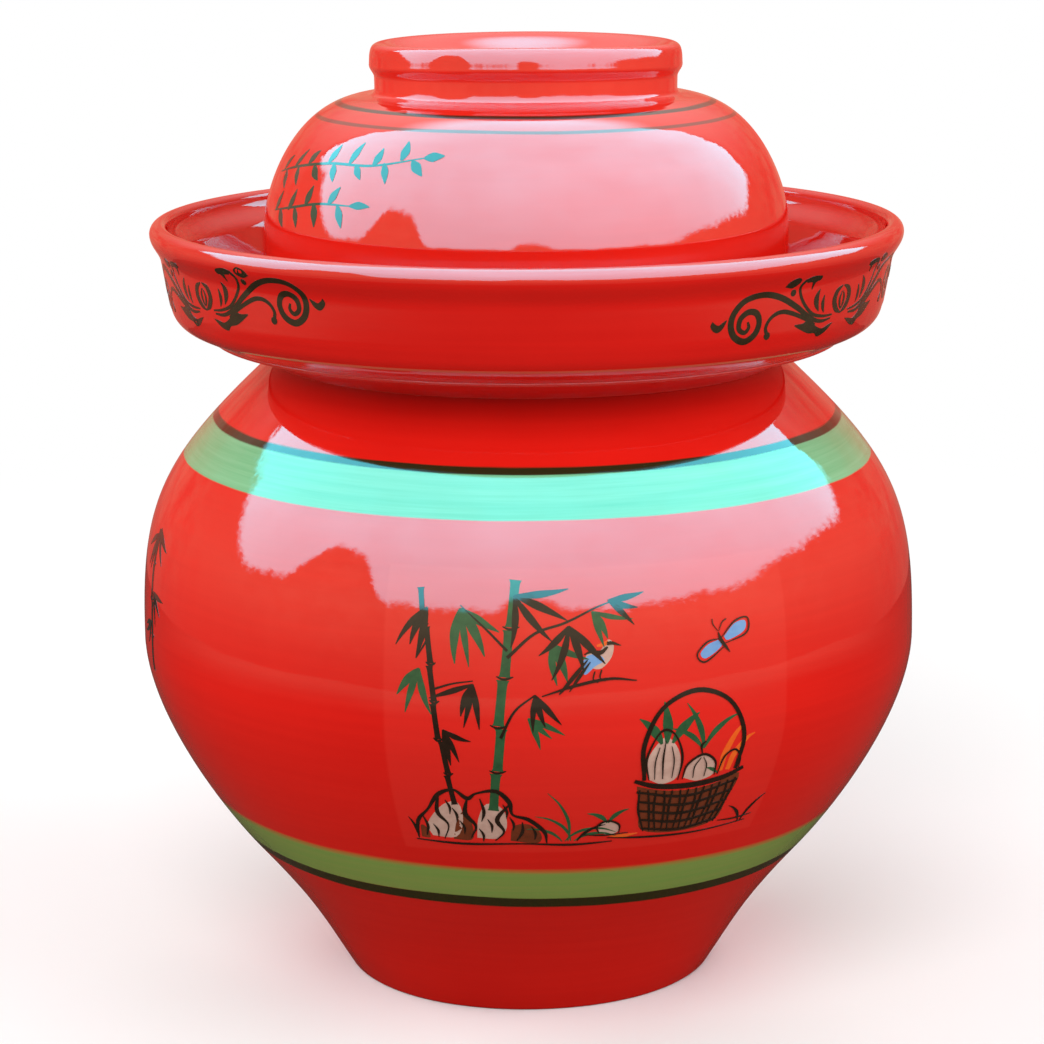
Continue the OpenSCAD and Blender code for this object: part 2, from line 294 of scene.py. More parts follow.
for face in bm.faces:
    centre = face.calc_center_median() / MM
    out = math.hypot(centre.x, centre.y)
    side_r = min(jar_side, key=lambda p: abs(p.y - centre.z)).x
    within = out < (mouth_r + neck_edge_r if centre.z > shoulder_in_z else side_r - wall / 2)
    brown = within and floor_z - 1 < centre.z < brown_top_z
    standing = out < foot_r - 1 and centre.z < foot_hollow + 0.1
    face.material_index = 1 if brown else 2 if standing else 0
jar = finished("jar_glazed", bm, "jar", "jar_glaze", jar_glaze, tea_glaze, clay)
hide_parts("jar", "jar_shoulder")

# Water trough. A ring of the same clay, thrown by itself, set on the shoulder and joined to it with
# soft clay before the glazing. Its wall opens out into a soft rim. A ridge marks the joint below.
rim_z, trough_r, trough_in_r, trough_lean = 245, 112.3, 105.3, 10
rim_outer_r, rim_inner_r, rim_flare_w, rim_flare_h = 3.4, 2.2, 1.4, 11.5
ridge_r, ridge_in, ridge_z, under_lean, joint_lean = 0.7, 12.2, 208.7, 66, 56
under_corner_r, trough_corner_r = 8, 9
wall_low_z, wall_high_z = 220, 233
trough_sway = 0.6


def trough_wall(radius, height):
    """A point of the leaning wall, from its radius at the trough's floor."""
    return Vector((radius + (height - trough_z) * math.tan(math.radians(trough_lean)), height))


ridge_at = Vector((trough_r - ridge_in, ridge_z))
corner_at = Vector((trough_r, ridge_at.y + ridge_in / math.tan(math.radians(under_lean))))
wall_top = trough_wall(trough_r, rim_z - rim_flare_h)
inner_top = trough_wall(trough_in_r, rim_z - rim_flare_h)
rim_out = Vector((trough_wall(trough_r, rim_z).x + rim_flare_w, rim_z - rim_outer_r))
rim_in = Vector((rim_out.x - rim_outer_r - rim_inner_r, rim_z - rim_inner_r))
wall_line = (rounded(ridge_at, corner_at, wall_top, under_corner_r)
             + [trough_wall(trough_r, z) for z in range(wall_low_z, wall_high_z, 2)]
             + curve(wall_top, trough_lean, rim_out, 0, steps=12))
inner_foot = trough_wall(trough_in_r, trough_z)
trough_outline = (
    curve(shoulder_at, joint_lean, ridge_at - ridge_r * lean(under_lean), under_lean)
    + arc(ridge_at, ridge_r, -90 - under_lean, 90 - under_lean)
    + wall_line + arc(rim_out - Vector((rim_outer_r, 0)), rim_outer_r, 0, 90)
    + arc(rim_in + Vector((rim_inner_r, 0)), rim_inner_r, 90, 180)
    + curve(rim_in, 180, inner_top, 180 + trough_lean, steps=12)
    + rounded(inner_top, inner_foot, neck_foot, trough_corner_r) + [ledge, shoulder_at])
trough_glaze = glossy(
    "RedTroughGlaze", lambda place: red_glaze(place, paint(206, 20, 15), paint(228, 30, 21)),
    # the underside, where the glaze ran thin, is duller
    lambda place: axes(place)[2].past(211.5, 2) * -0.3 + 0.335)
water_trough = finished("water_trough_glazed", turned(trough_outline, trough_sway), "jar",
                        "jar_glaze", trough_glaze)
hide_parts("water_trough")

# Scroll ornament. Three printed transfers of leafy scrollwork in brown-black enamel, fired on round
# the outside of the trough. Each is the same half motif, once as it is and once mirrored.
bend_step, enamel_t = 3, 0.08
scroll_ink = glossy("BrownBlackEnamel", lambda place: place.noise(3, 3.0).blend(
    paint(28, 24, 8), paint(54, 38, 16)), shine=0.2)


def through(knots, steps):
    """Smooth line through the knots. The third number of each is the width of the stroke there."""
    k = [Vector(p) for p in knots]
    k = [2 * k[0] - k[1]] + k + [2 * k[-1] - k[-2]]
    line = []
    for a, b, c, d in zip(k, k[1:], k[2:], k[3:]):
        for i in range(steps):
            t = i / steps
            line.append((2 * b + (c - a) * t + (2 * a - 5 * b + 4 * c - d) * t ** 2
                         + (3 * b - a - 3 * c + d) * t ** 3) / 2)
    return line + [k[-2]]


def stroke(bm, line, level):
    """Draws a brush stroke: an edge as wide as the brush, drawn out along the line."""
    finest = 0.12
    for i, (x, y, width) in enumerate(line):
        ahead, behind = line[min(i + 1, len(line) - 1)], line[max(i - 1, 0)]
        along = Vector((ahead.x - behind.x, ahead.y - behind.y)).normalized()
        across = Vector((-along.y, along.x, 0)) * max(width, finest) / 2
        middle = Vector((x, y, level))
        if i == 0:
            left, right = bm.verts.new(middle + across), bm.verts.new(middle - across)
            edge = bm.edges.new((left, right))
        else:
            grown = bmesh.ops.extrude_edge_only(bm, edges=[edge])["geom"]
            ends = [g for g in grown if isinstance(g, bmesh.types.BMVert)]
            left, right = sorted(ends, key=lambda v: (v.co - left.co).length)
            edge = bm.edges.get((left, right))
            left.co, right.co = middle + across, middle - across


def patch(bm, knots, level):
    """Fills a smooth closed outline."""
    ring = through([(*p, 0) for p in knots + knots[:1]], 4)[:-1]
    face = bm.faces.new([bm.verts.new((p.x, p.y, level)) for p in ring])
    bmesh.ops.triangulate(bm, faces=[face])


def drawn(strokes, patches=(), dots=(), level=0.05):
    """All marks of one colour, flat, each a hair higher than the one before."""
    hair = 0.002
    bm = bmesh.new()
    for number, mark in enumerate([*strokes, *patches, *dots]):
        height = level + hair * number
        if number < len(strokes):
            stroke(bm, through(mark, 6), height)
        elif number < len(strokes) + len(patches):
            patch(bm, mark, height)
        else:
            x, y, radius = mark
            bmesh.ops.create_circle(bm, cap_ends=True, segments=14, radius=radius,
                                    matrix=Matrix.Translation((x, y, height)))
    return bm


class Side:
    """The outside of a turned piece, as a sheet to paint on, from one turn and height."""

    def __init__(self, line, sway, turn, height):
        self.line, self.sway, self.turn = line, sway, math.radians(turn)
        self.start = min(range(len(line)), key=lambda i: abs(line[i].y - height))
        self.radius, self.over = line[self.start].x, height - line[self.start].y

    def place(self, x, y, out):
        """The point x round and y up along the surface."""
        line, i, way = self.line, self.start, y + self.over
        while i < len(line) - 2 and way > (line[i + 1] - line[i]).length:
            way -= (line[i + 1] - line[i]).length
            i += 1
        while way < 0 and i > 0:
            i -= 1
            way += (line[i + 1] - line[i]).length
        along = (line[i + 1] - line[i]).normalized()
        r, z = line[i] + along * way + Vector((along.y, -along.x)) * out
        angle = self.turn + x / self.radius
        return thrown(Vector((r * math.sin(angle), -r * math.cos(angle), z)) * MM, self.sway)


def painted(name, bm, side, body, slot, material, tilt=0.0):
    """Lays flat paint on the side of a piece: cut to bend with it, and as thick as enamel is."""
    for face in bm.faces:
        face.normal_update()
    bmesh.ops.reverse_faces(bm, faces=[f for f in bm.faces if f.normal.z < 0])
    bmesh.ops.rotate(bm, verts=bm.verts, cent=(0, 0, 0),
                     matrix=Matrix.Rotation(math.radians(tilt), 3, "Z"))
    for axis, normal in ((0, (1, 0, 0)), (1, (0, 1, 0))):
        span = [v.co[axis] for v in bm.verts]
        for cut in range(math.ceil(min(span) / bend_step), math.ceil(max(span) / bend_step)):
            bmesh.ops.bisect_plane(bm, geom=bm.verts[:] + bm.edges[:] + bm.faces[:], dist=0.001,
                                   plane_co=Vector(normal) * cut * bend_step, plane_no=normal)
    bmesh.ops.solidify(bm, geom=bm.faces[:], thickness=enamel_t)
    for v in bm.verts:
        v.co = side.place(*v.co)
    bmesh.ops.recalc_face_normals(bm, faces=bm.faces)
    return finished(name, bm, body, slot, material)


scroll_strokes = [
    # great arch that winds into the spiral
    [(5.3, -3.2, 0.6), (10, -3.4, 1.1), (14.3, -2.2, 1.4), (18.6, 0.2, 1.6), (22.8, 3, 1.8),
     (30, 7, 1.9), (36.6, 8.8, 1.9), (43, 8, 1.9), (46.8, 4.8, 2.0), (47.9, 1, 2.1),
     (46.4, -2.8, 2.1), (42.6, -4.8, 2.1), (38.9, -3, 2.1), (37.6, 0.4, 2.0), (38.9, 3.4, 2.0),
     (41.9, 4.2, 1.9), (44.6, 2.4, 1.8), (44.9, -0.6, 1.6), (42.8, -2, 1.4), (41.4, -0.6, 1.2),
     (41.9, 1.2, 0.7)],
    # small arch that hangs from the leaf and ends in a ball
    [(13.2, -4, 0.7), (16.6, -2.2, 1.1), (20.8, -0.2, 1.3), (25, 1.5, 1.4), (28.4, 2.4, 1.4),
     (31.4, 2.1, 1.3), (33.8, 0.6, 1.2), (34.9, -1.6, 1.2), (34.5, -3.2, 1.3)],
    # curl that rises beside the great arch
    [(4.6, -2.2, 0.5), (9.5, -1.9, 0.9), (14.6, -0.6, 1.1), (18.4, 2.2, 1.1), (21.3, 5.8, 1.1),
     (22.2, 9, 1.1), (20.6, 11.2, 1.2)],
    # two blades beside the bud, and half of the bud with its rib
    [(12.7, 7, 0.3), (13.9, 4.6, 2.2), (13.6, 2.4, 2.0), (12.2, 0, 0.3)],
    [(10.1, 4.8, 0.3), (10.5, 2.6, 1.5), (10.2, 0.8, 1.3), (9.4, -0.8, 0.3)],
    [(0.4, 6.2, 0.4), (3.4, 4.6, 1.9), (4.2, 1.8, 2.3), (2.6, -0.9, 1.9), (0, -2.4, 0.4)],
    [(0.3, 4.4, 0.3), (1.2, 2.4, 1.0), (0.9, 0.2, 1.0), (0, -1.2, 0.3)]]
scroll_patches = [
    # leaf under the joint, head of the curl, drop above the arch, and comma beyond the spiral
    [(3.6, -4.8), (6.2, -5.2), (9.4, -5.8), (12.8, -4.4), (14.6, -2.8), (17.1, -2.1), (19.3, -2.7),
     (22.9, -2.7), (19.8, -4.6), (16.2, -6.2), (12.8, -6.8), (11, -8.2), (8, -7.6), (5.8, -6.4)],
    [(20.8, 11.6), (17.8, 12.3), (13.9, 11.8), (13.8, 10.3), (15.6, 9.7), (16.9, 7.4), (17.3, 9.9),
     (19.8, 10.2)],
    [(28.9, 10.1), (27.6, 11.8), (24.8, 12.8), (23, 11.9), (23.4, 10.5), (25.9, 9.3)],
    [(54.2, 2.8), (54.8, 1.3), (53.7, -0.3), (52.2, -0.8), (50.6, 0.3), (49.4, 2.7), (50.9, 2),
     (52.1, 1.4), (53.2, 1.9)]]
scroll_dots = [(25, 7.7, 1.1), (34.1, -4.2, 1.2)]


def scroll(name, turn, height, tilt):
    """The half motif and its mirror image, printed on the wall of the trough."""
    both = [[[(m * x, *more) for x, *more in mark] for mark in marks for m in (1, -1)]
            for marks in (scroll_strokes, scroll_patches)]
    dots = [(m * x, y, radius) for x, y, radius in scroll_dots for m in (1, -1)]
    painted(name, drawn(*both, dots), Side(wall_line, trough_sway, turn, height), "jar",
            "jar_glaze", scroll_ink, tilt)


scroll("scroll_right", turn=54.6, height=226.5, tilt=2.2)
scroll("scroll_left", turn=-57.5, height=227.4, tilt=4.3)
scroll("scroll_back", turn=179, height=227, tilt=0)

# Picture on the front of the jar. Bamboo by a rock, with a small bird, and a basket of vegetables.
# It is painted over the glaze in enamel colours, thin washes first and ink lines last, and fired.
rng = random.Random(5)


def leaf(x, y, angle, length, width, bend=0.0):
    """A leaf pressed down and lifted off with the tip of the brush."""
    knots = []
    for share, thick in ((0, 0.25), (0.2, 0.7), (0.45, 1), (0.75, 0.6), (1, 0.1)):
        a = math.radians(angle + bend * share)
        knots.append((x + share * length * math.cos(a), y + share * length * math.sin(a),
                      thick * width))
    return knots


def cluster(x, y, angle, count, length):
    """Leaves that hang from one point of a twig."""
    spread = 26
    return [leaf(x, y, angle + spread * (i - (count - 1) / 2) + rng.uniform(-7, 7),
                 length * rng.uniform(0.75, 1.1), length * rng.uniform(0.13, 0.19),
                 rng.uniform(-14, 14))
            for i in range(count)]


def stalk(foot, head, joints, width):
    """Segments of a bamboo stalk, each thicker at its ends."""
    foot, head = Vector(foot), Vector(head)
    parts = []
    for i in range(joints):
        a, b = (foot.lerp(head, (i + share) / joints) for share in (0.03, 0.97))
        sway = Vector((0.5 * math.sin(2.1 * i), 0))
        parts.append([(*(a + sway), width * 1.15), (*(a.lerp(b, 0.15) + sway), width * 0.9),
                      (*(a.lerp(b, 0.85) + sway), width * 0.88), (*(b + sway), width * 1.2)])
    return parts


def rings(foot, head, joints, width):
    """The dark rings between the segments of a stalk."""
    foot, head = Vector(foot), Vector(head)
    marks = []
    for i in range(1, joints):
        x, y = foot.lerp(head, i / joints) + Vector((0.5 * math.sin(2.1 * i), 0))
        marks.append([(x - width * 0.75, y + 0.7, 0.3), (x - width * 0.2, y - 0.1, 0.7),
                      (x + width * 0.3, y, 0.7), (x + width * 0.8, y + 0.6, 0.3)])
    return marks


tall, slim = ((-31, -30), (-24, 43), 5, 3.2), ((-43, -28), (-52, 40), 6, 1.9)
green_leaves = (
    cluster(-40, 34, -70, 4, 16) + cluster(-13, 24, -62, 3, 15) + cluster(-52, 16, -110, 3, 13)
    + cluster(-20, 2, -40, 3, 12) + cluster(-1, 33, -50, 3, 12))
ink_leaves = (
    cluster(-24, 38, -40, 4, 16) + cluster(-50, 34, -120, 3, 14) + cluster(-8, 29, -85, 4, 15)
    + cluster(-36, 12, -115, 4, 13) + cluster(-45, -2, -60, 3, 11) + cluster(4, 36, -20, 3, 11)
    + cluster(-18, 9, -75, 3, 11))
grass = [leaf(x, -42.5, angle, length, 1.1, bend) for x, angle, length, bend in (
    (-8, 60, 17, -50), (-7, 80, 21, 30), (-6, 98, 16, 40), (-5, 45, 14, -40), (-9, 120, 13, 35),
    (-4, 66, 11, -30), (55, 100, 10, 30), (56, 78, 12, -24), (-57, 84, 9, 20))]
twigs = [
    [(-26, 20, 1.0), (-18, 27, 0.8), (-9, 30, 0.7), (0, 34, 0.5), (6, 36, 0.3)],
    [(-28, -4, 0.9), (-24, 4, 0.7), (-18, 9, 0.4)],
    [(-26, 22, 0.8), (-32, 28, 0.6), (-40, 35, 0.3)],
    [(-48, 10, 0.7), (-42, 12, 0.5), (-36, 13, 0.3)], [(-50, 24, 0.6), (-53, 19, 0.3)]]
rock = [
    [(-57, -42, 0.5), (-56, -35, 1.3), (-52, -30, 0.8), (-48, -24, 1.5), (-43, -22, 0.8),
     (-39, -25, 1.5), (-36, -23, 0.7), (-30, -22, 1.3), (-26, -26, 1.6), (-25, -31, 0.8),
     (-20, -33, 1.4), (-15, -38, 1.3), (-14, -43, 0.4)],
    [(-48, -24, 0.7), (-49, -31, 1.4), (-46, -36, 0.6), (-48, -42, 0.3)],
    [(-39, -25, 0.5), (-40, -31, 1.6), (-37, -36, 0.9), (-39, -41, 0.3)],
    [(-26, -27, 0.5), (-30, -33, 1.5), (-28, -38, 0.8), (-31, -42, 0.3)],
    [(-54, -33, 0.3), (-53, -37, 1.0), (-54, -41, 0.3)],
    [(-35, -25, 0.3), (-34, -30, 1.1), (-35, -34, 0.2)],
    [(-22, -34, 0.3), (-22, -38, 1.1), (-24, -42, 0.3)]]
hatching = [[(x, y, 0.2), (x + 1.2, y - 2.6, 0.9), (x + 1.0, y - 5.5, 0.2)] for x, y in (
    (-46, -26), (-44, -29), (-42, -34), (-51, -36), (-33, -33), (-26, -32), (-36, -37),
    (-19, -36), (-28, -27))]
ground = [
    [(-58, -43, 0.3), (-42, -43.8, 0.9), (-22, -43.2, 0.5), (-6, -44, 0.9), (8, -43.4, 0.3)],
    [(6, -41.8, 0.2), (20, -43.0, 0.8), (38, -43.6, 0.6), (58, -42.4, 0.3)],
    [(-2, -40.0, 0.2), (5, -40.6, 0.6), (13, -40.2, 0.2)],
    [(46, -40.4, 0.2), (53, -40.8, 0.6), (60, -40.2, 0.2)]]
basket_rim = [
    (12.5, -20, 1.2), (20, -22.6, 1.8), (31, -23.6, 2.0), (42, -22.6, 1.8), (49.5, -20, 1.2)]
basket_lines = [[(13.6 + 0.9 * i, -24.2 - 3.7 * i, 0.7), (31, -27.6 - 3.4 * i, 1.0),
                 (48.4 - 0.9 * i, -24.2 - 3.7 * i, 0.7)] for i in range(5)]
staves = [[(14.5 + 2.75 * i, -23.4 - 1.6 * math.sin(math.pi * i / 12), 0.5),
           (15.6 + 2.58 * i + (0.5 if i % 2 else -0.5), -31.5, 0.8),
           (18.2 + 2.14 * i, -40.2 - 1.2 * math.sin(math.pi * i / 12), 0.4)] for i in range(13)]
handle = [
    (15.5, -20, 1.2), (14.5, -8, 1.5), (20, 3, 1.3), (31, 7.5, 1.5), (42, 3, 1.3),
    (47.5, -8, 1.5), (46.5, -20, 1.2)]
vegetable_lines = [
    [(17, -20, 0.3), (15.5, -13, 0.8), (18, -6, 0.5), (21, -3.5, 0.8), (24.5, -6, 0.5),
     (27, -13, 0.8), (26.5, -21, 0.3)],
    [(21.4, -20, 0.3), (20.8, -13, 0.6), (21.2, -7, 0.2)],
    [(18.8, -20, 0.2), (18.4, -14, 0.4), (19.4, -9, 0.2)],
    [(24.4, -20, 0.2), (24.4, -14, 0.4), (23.2, -9, 0.2)],
    [(28, -21, 0.3), (29, -16, 0.7), (34, -13, 0.8), (38.5, -16, 0.7), (39, -21, 0.3)],
    [(33.6, -13, 0.3), (33, -10, 0.7), (34.4, -8.6, 0.3)],
    [(33.4, -14, 0.2), (31.6, -17, 0.4), (31.6, -21, 0.2)],
    [(34.2, -14, 0.2), (35.6, -17, 0.4), (35.4, -21, 0.2)],
    [(40, -21, 0.3), (41.5, -15, 0.6), (45, -13, 0.6), (47.4, -16, 0.6), (47.6, -20, 0.3)],
    [(3, -39.5, 0.3), (2.2, -36.6, 0.7), (5.4, -34.6, 0.6), (9.4, -36.4, 0.7), (9.8, -40, 0.3)]]
vegetable_leaves = [
    leaf(21.5, -8, 84, 13, 3.2, 10), leaf(20, -8, 112, 11, 3.0, 18),
    leaf(23.4, -8, 62, 12, 3.0, -16), leaf(34, -11, 70, 15, 1.8, -30),
    leaf(33.8, -11, 96, 16, 1.9, 16), leaf(33.4, -11, 120, 13, 1.7, 24),
    leaf(40, -20.5, 130, 5, 1.2, 20), leaf(5.8, -35.5, 70, 8, 1.6, -30),
    leaf(5.4, -35.5, 118, 8, 1.6, 30)]
bird_lines = [
    [(-3.6, 20.6, 0.2), (-1.4, 21.4, 0.9), (1.2, 21.0, 1.3), (3.4, 22.6, 0.5)],
    [(3.2, 23.6, 1.0), (5.0, 23.6, 0.9), (7.4, 22.8, 0.15)],
    [(-2.6, 19.0, 0.3), (-6.0, 15.0, 1.2), (-9.5, 10.8, 0.9), (-11.0, 9.0, 0.2)],
    [(-1.8, 18.4, 0.3), (-5.0, 14.2, 1.0), (-8.0, 9.8, 0.2)],
    [(1.5, 16.0, 0.4), (1.0, 13.6, 0.4), (2.6, 12.6, 0.3)],
    [(-0.5, 15.6, 0.4), (-1.0, 13.2, 0.4), (0.4, 12.2, 0.3)],
    [(-16, 8.6, 0.3), (-6, 11.6, 0.9), (4, 13.2, 0.8), (12, 12.2, 0.3)]]
moth_lines = [
    [(38.2, 24.0, 0.2), (39.0, 21.6, 1.1), (40.6, 19.4, 0.9), (42.0, 17.6, 0.2)],
    [(38.2, 24.2, 0.2), (36.6, 26.4, 0.3), (36.4, 28.0, 0.3)],
    [(38.5, 24.3, 0.2), (39.6, 26.6, 0.3), (41.2, 27.6, 0.3)],
    [(39, 22, 0.2), (44, 26.5, 0.5), (48.6, 27.0, 0.4), (48.0, 22.6, 0.5), (40.5, 20.4, 0.2)],
    [(38.6, 22, 0.2), (34.4, 21.4, 0.5), (31.0, 18.0, 0.4), (33.6, 15.6, 0.5), (40.0, 19.4, 0.2)]]
pale_shapes = [
    [(17.2, -20), (16, -13), (18.6, -8), (21.2, -6), (24.0, -8), (26.4, -13), (26.2, -20),
     (21.5, -22)],
    [(28.4, -20.6), (29.6, -16), (33.8, -13.4), (38.0, -16), (38.8, -20.6), (33.5, -22.4)],
    [(3.2, -39.4), (2.8, -36.6), (5.6, -35.0), (9.0, -36.6), (9.4, -39.6), (6.2, -40.6)],
    [(-3.4, 19.0), (-2.4, 21.0), (1.0, 21.4), (3.4, 24.6), (5.2, 23.4), (4.6, 19.6), (1.6, 16.4),
     (-1.4, 16.6)],
    [(-52, -41), (-53, -36), (-47, -28), (-42, -27), (-41, -34), (-44, -41)],
    [(-37, -41), (-36, -33), (-33, -27), (-28, -29), (-27, -36), (-30, -41)]]
brown_shapes = [
    [(13.4, -22), (22, -24.5), (31, -25.4), (40, -24.5), (48.6, -22), (46.6, -32), (44.2, -40),
     (31, -42.4), (17.8, -40), (15.4, -32)],
    [(-45, -42), (-43, -34), (-40, -30), (-38, -37), (-39, -42)],
    [(-26, -42), (-25, -36), (-20, -35), (-16, -39), (-17, -43)],
    [(-56, -42), (-55.4, -37), (-53.6, -38), (-53, -42)]]
blue_shapes = [
    [(-4.6, 17.4), (-2.6, 20.2), (0.6, 20.4), (2.4, 18.6), (-0.4, 17.0), (-3.4, 14.6)],
    [(40.2, 22.4), (44, 25.8), (47.8, 26.2), (47.2, 23.2), (41.6, 21.2)],
    [(38.2, 21.6), (34.8, 20.6), (32.2, 18.2), (34.0, 16.6), (39.2, 19.6)]]
red_strokes = [
    [(41, -20, 1.6), (41.6, -14, 2.2), (44.4, -8, 1.6), (47.4, -4.6, 0.3)],
    [(43.6, -20, 1.6), (45.0, -14.6, 2.0), (48.8, -10, 1.3), (51.6, -8.6, 0.3)],
    [(0.2, 23.0, 0.6), (2.4, 23.4, 1.2), (3.6, 24.2, 0.8)],
    [(6, -40.6, 0.8), (11, -41.6, 1.5), (16.5, -41.0, 0.3)]]
bird_eye = (4.2, 23.9, 0.35)
picture_side = Side(jar_side, jar_sway, 9, 113)


def enamel(name, dark, light, size=4.0):
    """Enamel colour that lies thicker in some places than in others."""
    return glossy(name, lambda place: place.noise(size, 4.0, 0.65).blend(
        paint(*dark), paint(*light)), shine=0.06)


for name, material, level, strokes, shapes in (
        ("picture_pale", enamel("PaleEnamel", (176, 132, 118), (226, 190, 172)), 0.030,
         [], pale_shapes),
        ("picture_brown", enamel("BrownEnamel", (84, 38, 20), (136, 62, 34)), 0.034,
         [], brown_shapes),
        ("picture_blue", enamel("BlueEnamel", (84, 132, 196), (140, 184, 224)), 0.044,
         [], blue_shapes),
        ("picture_red", enamel("OrangeEnamel", (232, 70, 20), (250, 120, 40)), 0.046,
         red_strokes, []),
        ("picture_green", enamel("GreenEnamel", (26, 62, 38), (60, 108, 66)), 0.050,
         stalk(*tall) + green_leaves + grass[:5] + vegetable_leaves, []),
        ("picture_ink", enamel("InkEnamel", (16, 12, 8), (52, 34, 22), 2.5), 0.085,
         stalk(*slim) + rings(*tall) + rings(*slim) + ink_leaves + grass[5:] + twigs + rock
         + hatching + ground + [basket_rim, handle] + basket_lines + staves + vegetable_lines
         + bird_lines + moth_lines, [])):
    painted(name, drawn(strokes, shapes, [bird_eye] if name == "picture_ink" else [], level),
            picture_side, "jar", "jar_glaze", material)

# Brush bamboo. A single stalk in black ink enamel, painted freehand on the left side of the jar.
side_stalk = ((2, -24), (-1, 22), 4, 2.6)
side_leaves = (cluster(0, 22, -60, 3, 13) + cluster(-1, 20, -130, 3, 12) + cluster(2, 2, -40, 3, 11)
               + cluster(0, -8, -135, 3, 11))
painted("side_bamboo", drawn(stalk(*side_stalk) + rings(*side_stalk) + side_leaves),
        Side(jar_side, jar_sway, -73, 130), "jar", "jar_glaze", bpy.data.materials["InkEnamel"])

# Lid. A bowl thrown of the same clay that stands upside down in the trough. Its foot ring is turned
# on top as the handle, it is glazed a brighter red, and two thin dark lines run round its crown.
lid_z, lip_z, ceiling_z, crown_z, ring_z = 212.3, 245, 280, 287, 300
lip_in_r, lip_r, lid_wall, lip_edge_r = 77.5, 83, 5.5, 2
ring_r, ring_in_r, waist_r, waist_h = 49.5, 43, 47.9, 2.4
dome_lean, root_lean, brow_lean, dish_lean = -5, -82, -20, -118
low_line, high_line = (277.85, 278.65), (281.6, 282.35)
lid_sway = 0.5
ring_lift, lift_from_z, lift_over, lift_within_r, lift_full_r = 1.8, 282, 6, 56, 50
dome_at = Vector((lip_r + 0.3, lip_z))
waist_at = Vector((waist_r, crown_z + waist_h))
root_at = waist_at + Vector((5.4, -5.8))
swell_at = Vector((ring_r, waist_at.y + (ring_z - waist_at.y) * 0.38))
brow_at = Vector((ring_r - 0.6, ring_z - 1.5))
ring_out = Vector((ring_r - 2.7, ring_z))
dish_at = Vector((ring_in_r - 6, ring_z - 4.6))
dish_foot = Vector((ring_in_r - 16, crown_z))
dome_line = curve(dome_at, dome_lean, root_at, root_lean, (0.25, 0.41))
lip_top, lip_in, lip_out = (lip_in_r, lip_z), (lip_in_r, lid_z), (lip_r, lid_z)
lid_outline = (
    [(0, ceiling_z)] + inset(dome_line, lid_wall)[::-1]
    + rounded(lip_top, lip_in, lip_out, lip_edge_r) + rounded(lip_in, lip_out, dome_at, lip_edge_r)
    + dome_line + curve(root_at, root_lean, waist_at, 0, (0.8, 0.7), 20)
    + curve(waist_at, 0, swell_at, 0, steps=14) + curve(swell_at, -4, brow_at, brow_lean, steps=14)
    + curve(brow_at, brow_lean, ring_out, -90, steps=8)
    + curve(ring_out, -94, dish_at, dish_lean, steps=8)
    + curve(dish_at, dish_lean, dish_foot, -90, (0.5, 0.4), 16) + [(0, crown_z)])


def lid_colour(place):
    by_hand = axes(place)[2] + (place.noise(40, 1.0) - 0.5) * 0.5
    streaks = place.stretched(0.02, 0.02, 1).noise(1.0, 3.0, 0.6) - 0.5
    colour = red_glaze(place, paint(220, 28, 18), paint(234, 40, 28))
    thin_line = (by_hand + streaks * 0.3).between(*low_line, 0.18) * 0.8
    colour = thin_line.blend(colour, paint(92, 50, 34))
    return (by_hand + streaks * 0.2).between(*high_line, 0.15).blend(colour, paint(44, 38, 24))


lid_glaze = glossy("RedLidGlaze", lid_colour)
bm = turned(lid_outline, lid_sway)
for v in bm.verts:
    # the ring was trimmed by hand and stands a little higher in front
    if math.hypot(v.co.x, v.co.y) < lift_within_r * MM:
        up = min(1, max(0, (v.co.z - lift_from_z * MM) / (lift_over * MM)))
        v.co.z += ring_lift * MM * up * max(0, -v.co.y / (lift_full_r * MM)) ** 1.5
lid = finished("lid_glazed", bm, "lid", "lid_glaze", lid_glaze)
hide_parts("lid")

# Leaf sprigs. Two thin twigs with willow-like leaves, painted on the lid's left in deep green.
lid_ink = enamel("DeepGreenEnamel", (16, 56, 44), (34, 86, 66), 3.0)
sprig_twigs = [[(-38, -1, 0.5), (-22, 2, 0.9), (-4, 4, 0.9), (14, 4, 0.8), (32, 7, 0.4)],
               [(-32, -13, 0.4), (-18, -11, 0.8), (-4, -9, 0.8), (9, -9, 0.4)]]
sprig_places = [
    (-35, 0, 70), (-32, 0, -60), (-26, 1, 64), (-23, 2, -70), (-17, 3, 70), (-13, 3, -60),
    (-6, 4, 60), (-3, 4, -68), (4, 4, 68), (7, 4, -60), (14, 4, 60), (18, 5, -62), (24, 6, 66),
    (28, 6, -50), (32, 7, 8), (-31, -13, 62), (-27, -12, -66), (-21, -12, 60), (-17, -11, -60),
    (-11, -10, 66), (-7, -9, -64), (0, -9, 58), (4, -9, -60), (9, -9, 4)]
sprig_leaves = [leaf(x, y, angle + rng.uniform(-8, 8), rng.uniform(6, 8.5), rng.uniform(2.4, 3.3),
                     rng.uniform(-16, 16)) for x, y, angle in sprig_places]
painted("lid_sprigs", drawn(sprig_twigs + sprig_leaves), Side(dome_line, lid_sway, -48, 264), "lid",
        "lid_glaze", lid_ink, tilt=2)

